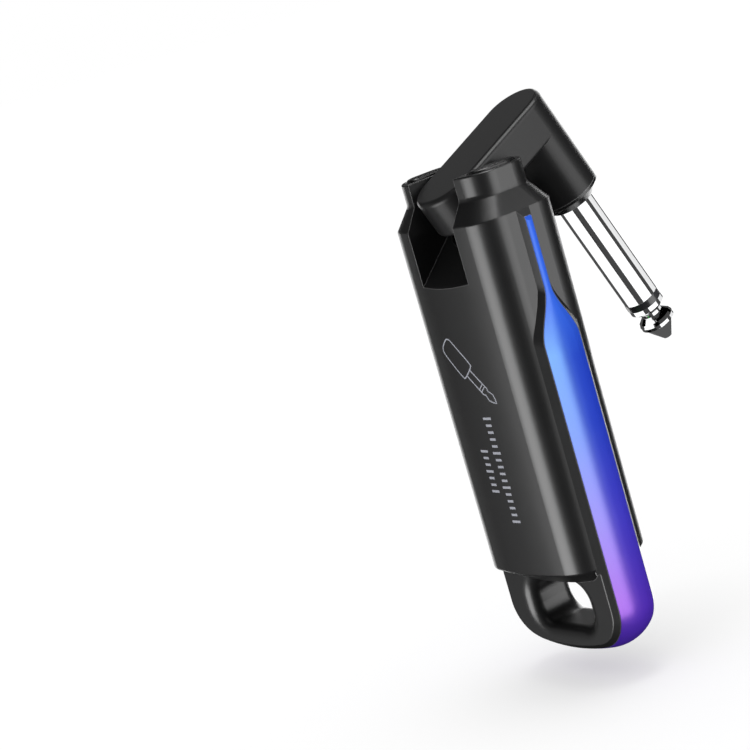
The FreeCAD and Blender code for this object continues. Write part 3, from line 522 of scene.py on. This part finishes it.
def front_print():
    """The front's marks: a radio-wave sign and a bold row of meter marks along the housing."""
    mesh = bmesh.new()
    middle = (0.0, 56.9 * MM)
    for radius_mm in (1.3, 2.5, 3.7):
        add_stroke(mesh, circle_points(middle, radius_mm * MM, range(-48, 49, 6)), 0.55 * MM, FRONT)
    add_stroke(mesh, circle_points(middle, 0.28 * MM, range(0, 360, 30)), 0.5 * MM, FRONT, closed=True)
    bold = [length_mm * MM for length_mm in (3.6, 2.6, 1.8, 2.6, 3.6, 2.6, 1.8)]
    add_meter(mesh, 0.0, 50.9 * MM, 38.3 * MM, bold, 0.95 * MM, FRONT)
    return ink_piece("front_print", mesh)


# ---------------------------------------------------------------- studio

FLOOR_GAP = 4 * MM                     # the object floats by this much
FLOOR_HALF = 5.0
FLOOR_SHADES = ((0.495, 0.495, 0.495), (0.505, 0.505, 0.505))
FLOOR_GLOW = 0.40                      # light of the floor's own, which keeps its shadow pale
WATTS_PER_RADIANCE = 4                 # an area light's power for each unit of radiance and area

# Every soft light is three boxes in one place, each this share of its width and a third of its radiance.
SOFT_LAYERS = (("wide", 1.2), ("middle", 0.9), ("narrow", 0.55))

# Soft lights: name, heading in degrees from +Y towards -X, height above the object's middle, distance
# from its upright axis, width, the other side, and radiance.
PLASTIC_LIGHTS = (
    ("key", 0, -0.15, 0.42, 0.26, 0.34, 17.0),
    ("back_fill", -42, -0.02, 0.42, 0.28, 0.60, 0.70),
    ("side", 112, -0.02, 0.42, 0.26, 0.60, 8.2),
    ("front", 212, -0.02, 0.42, 0.20, 0.60, 9.0),
    ("right", 262, -0.10, 0.42, 0.15, 0.34, 5.0),
    ("overhead", 122, 0.50, 0.18, 0.26, 0.30, 19.0),
    ("far_high", -108, 0.27, 0.42, 0.26, 0.24, 0.62),
)
TRIM_LIGHTS = (
    ("trim_sheen", 80, -0.02, 0.42, 0.34, 0.60, 6.6),
    ("trim_sheen_far", -90, -0.02, 0.42, 0.36, 0.60, 3.6),
)

# Strips that the plug's polish mirrors: name, where they start and end in degrees round the plug from
# the camera's side, distance from the plug's axis, length along it, and radiance. The gaps between
# them show as dark lines. The first one stands close in, between the plug and the housing.
PLUG_WHITE = 1.03
PLUG_STRIPS = (
    ("plug_white_left", 34, 99, 9.5 * MM, 26 * MM, PLUG_WHITE),
    ("plug_white_middle", -60, 4, 0.30, 0.17, PLUG_WHITE * 1.08),
    ("plug_white_right", -130, -86, 0.30, 0.17, PLUG_WHITE * 0.72),
    ("plug_white_behind", 156, 212, 0.30, 0.60, PLUG_WHITE * 0.9),
    ("plug_grey", -100, 40, 0.34, 0.54, PLUG_WHITE * 0.05),
    ("plug_grey_behind_left", 112, 176, 0.34, 0.54, PLUG_WHITE * 0.06),
    ("plug_grey_behind_right", -178, -128, 0.34, 0.54, PLUG_WHITE * 0.06),
)
PLUG_MIDDLE = 11.4 * MM                # from the plug's root to the middle of its sleeve

# Square lights past the plug's point, for its tip: name, how far towards the camera, side and radiance.
TIP_LIGHTS = (
    ("tip_grey", 0.0, 0.56, 0.08),
    ("tip_white", 0.10, 0.13, 1.3),
)
TIP_LIGHT_AWAY = 0.28


def floor():
    """A wide pale floor a little below the object."""
    mesh = bmesh.new()
    bmesh.ops.create_grid(mesh, x_segments=8, y_segments=8, size=FLOOR_HALF)
    data = bpy.data.meshes.new("floor")
    mesh.to_mesh(data)
    mesh.free()
    made = bpy.data.objects.new("floor", data)
    made.location = (CENTRE.x, CENTRE.y, CAD_LOW.z - FLOOR_GAP)
    bpy.context.scene.collection.objects.link(made)
    paper = Surface("floor_paper")
    fibres = paper.noise(0.6 * MM)
    paper.link(paper.mixed(fibres, *FLOOR_SHADES), paper.shader.inputs["Base Color"])
    paper.set(Roughness=0.9, Specular_IOR_Level=0.0)
    paper.set(Emission_Color=(1.0, 1.0, 1.0, 1.0), Emission_Strength=FLOOR_GLOW)
    data.materials.append(paper.material)
    made.visible_glossy = False
    made.visible_shadow = False
    return made


def lit_only(name, members):
    """A collection of what a light may fall on."""
    made = bpy.data.collections.new(name)
    for member in members:
        made.objects.link(member)
    return made


def area_light(name, place, facing, along, width, tall, radiance, only):
    """A rectangular light at place that faces that way, with its tall side along the other direction."""
    data = bpy.data.lights.new(name, "AREA")
    data.shape = "RECTANGLE"
    data.size = width
    data.size_y = tall
    data.energy = radiance * WATTS_PER_RADIANCE * width * tall
    made = bpy.data.objects.new(name, data)
    back = -facing.normalized()
    side = along.cross(back).normalized()
    up = back.cross(side)
    made.matrix_world = Matrix.Translation(place) @ Matrix((side, up, back)).transposed().to_4x4()
    made.visible_camera = False
    made.light_linking.receiver_collection = only
    bpy.context.scene.collection.objects.link(made)


def soft_light(name, heading, height, distance, width, tall, radiance, only):
    """A light round the object that faces its middle, and is brighter towards its own middle line."""
    turn = math.radians(heading)
    away = Vector((-math.sin(turn) * distance, math.cos(turn) * distance, height))
    layer_radiance = radiance / len(SOFT_LAYERS)
    for layer, share in SOFT_LAYERS:
        area_light(f"{name}_{layer}", CENTRE + away, -away, Vector((0, 0, 1)), width * share, tall,
                   layer_radiance, only)


def plug_lights(only):
    """Strips round the plug and parallel to it, and two lights past its point."""
    mount = frame["record"]["mounts"][0]
    axis = Vector(mount["axis"])
    middle = Vector(mount["pos_m"]) + axis * PLUG_MIDDLE
    view = (CAMERA_PLACE - middle).normalized()
    drop = -view.dot(axis)
    towards = (view + axis * drop).normalized()
    across = axis.cross(towards)
    for name, first, last, radius, tall, radiance in PLUG_STRIPS:
        turn = math.radians((first + last) / 2)
        outward = towards * math.cos(turn) + across * math.sin(turn)
        place = middle + outward * radius + axis * radius * drop / math.sqrt(1 - drop * drop)
        width = 2 * radius * math.tan(math.radians(last - first) / 2)
        area_light(name, place, -outward, axis, width, tall, radiance, only)
    for name, aside, size, radiance in TIP_LIGHTS:
        place = middle + axis * TIP_LIGHT_AWAY + towards * aside
        area_light(name, place, middle - place, towards, size, size, radiance, only)


def white_room():
    """An even white surround that lights matt surfaces, but that no polished surface mirrors."""
    world = bpy.data.worlds.new("white_room")
    world.use_nodes = True
    background = world.node_tree.nodes["Background"]
    background.inputs["Color"].default_value = (1.0, 1.0, 1.0, 1.0)
    background.inputs["Strength"].default_value = 1.0
    bpy.context.scene.world = world
    world.cycles_visibility.glossy = False


def sun(only):
    """A wide sun, nearly overhead, for the shadow on the floor."""
    made = bpy.data.objects.new("sun", bpy.data.lights.new("sun", "SUN"))
    made.data.energy = 0.80
    made.data.angle = math.radians(26)
    made.rotation_euler = (math.radians(4), math.radians(-2), 0)
    made.light_linking.receiver_collection = only
    bpy.context.scene.collection.objects.link(made)


def studio(paper):
    """A white room, and lights of their own for the floor, the plastic, the trim and the plug's metal."""
    trim = NODES["side_trim"]
    metal = [NODES["plug_sleeve"], NODES["plug_tip"]]
    shown = [piece for piece in bpy.context.scene.objects if piece.type == "MESH"]
    plain = lit_only("object", [piece for piece in shown if piece not in [paper, trim] + metal])
    painted = lit_only("trim_only", [trim])
    white_room()
    sun(lit_only("paper", [paper]))
    for row in PLASTIC_LIGHTS:
        soft_light(*row, plain)
    for row in TRIM_LIGHTS:
        soft_light(*row, painted)
    plug_lights(lit_only("bright_metal", metal))


def camera():
    """The camera at its place, turned by its heading, drop and roll."""
    data = bpy.data.cameras.new("camera")
    data.lens = CAMERA_LENS
    data.sensor_width = SENSOR
    data.clip_start = 0.01
    data.clip_end = 50.0
    made = bpy.data.objects.new("camera", data)
    forward = Vector((
        math.sin(CAMERA_HEADING) * math.cos(CAMERA_DROP),
        math.cos(CAMERA_HEADING) * math.cos(CAMERA_DROP),
        -math.sin(CAMERA_DROP),
    ))
    made.location = CAMERA_PLACE
    made.rotation_mode = "QUATERNION"
    made.rotation_quaternion = forward.to_track_quat("-Z", "Y") @ Quaternion((0, 0, 1), CAMERA_ROLL)
    bpy.context.scene.collection.objects.link(made)
    bpy.context.scene.camera = made


dress_nodes()
back_print()
front_print()
studio(floor())
camera()
bpy.context.scene.view_settings.view_transform = "Standard"
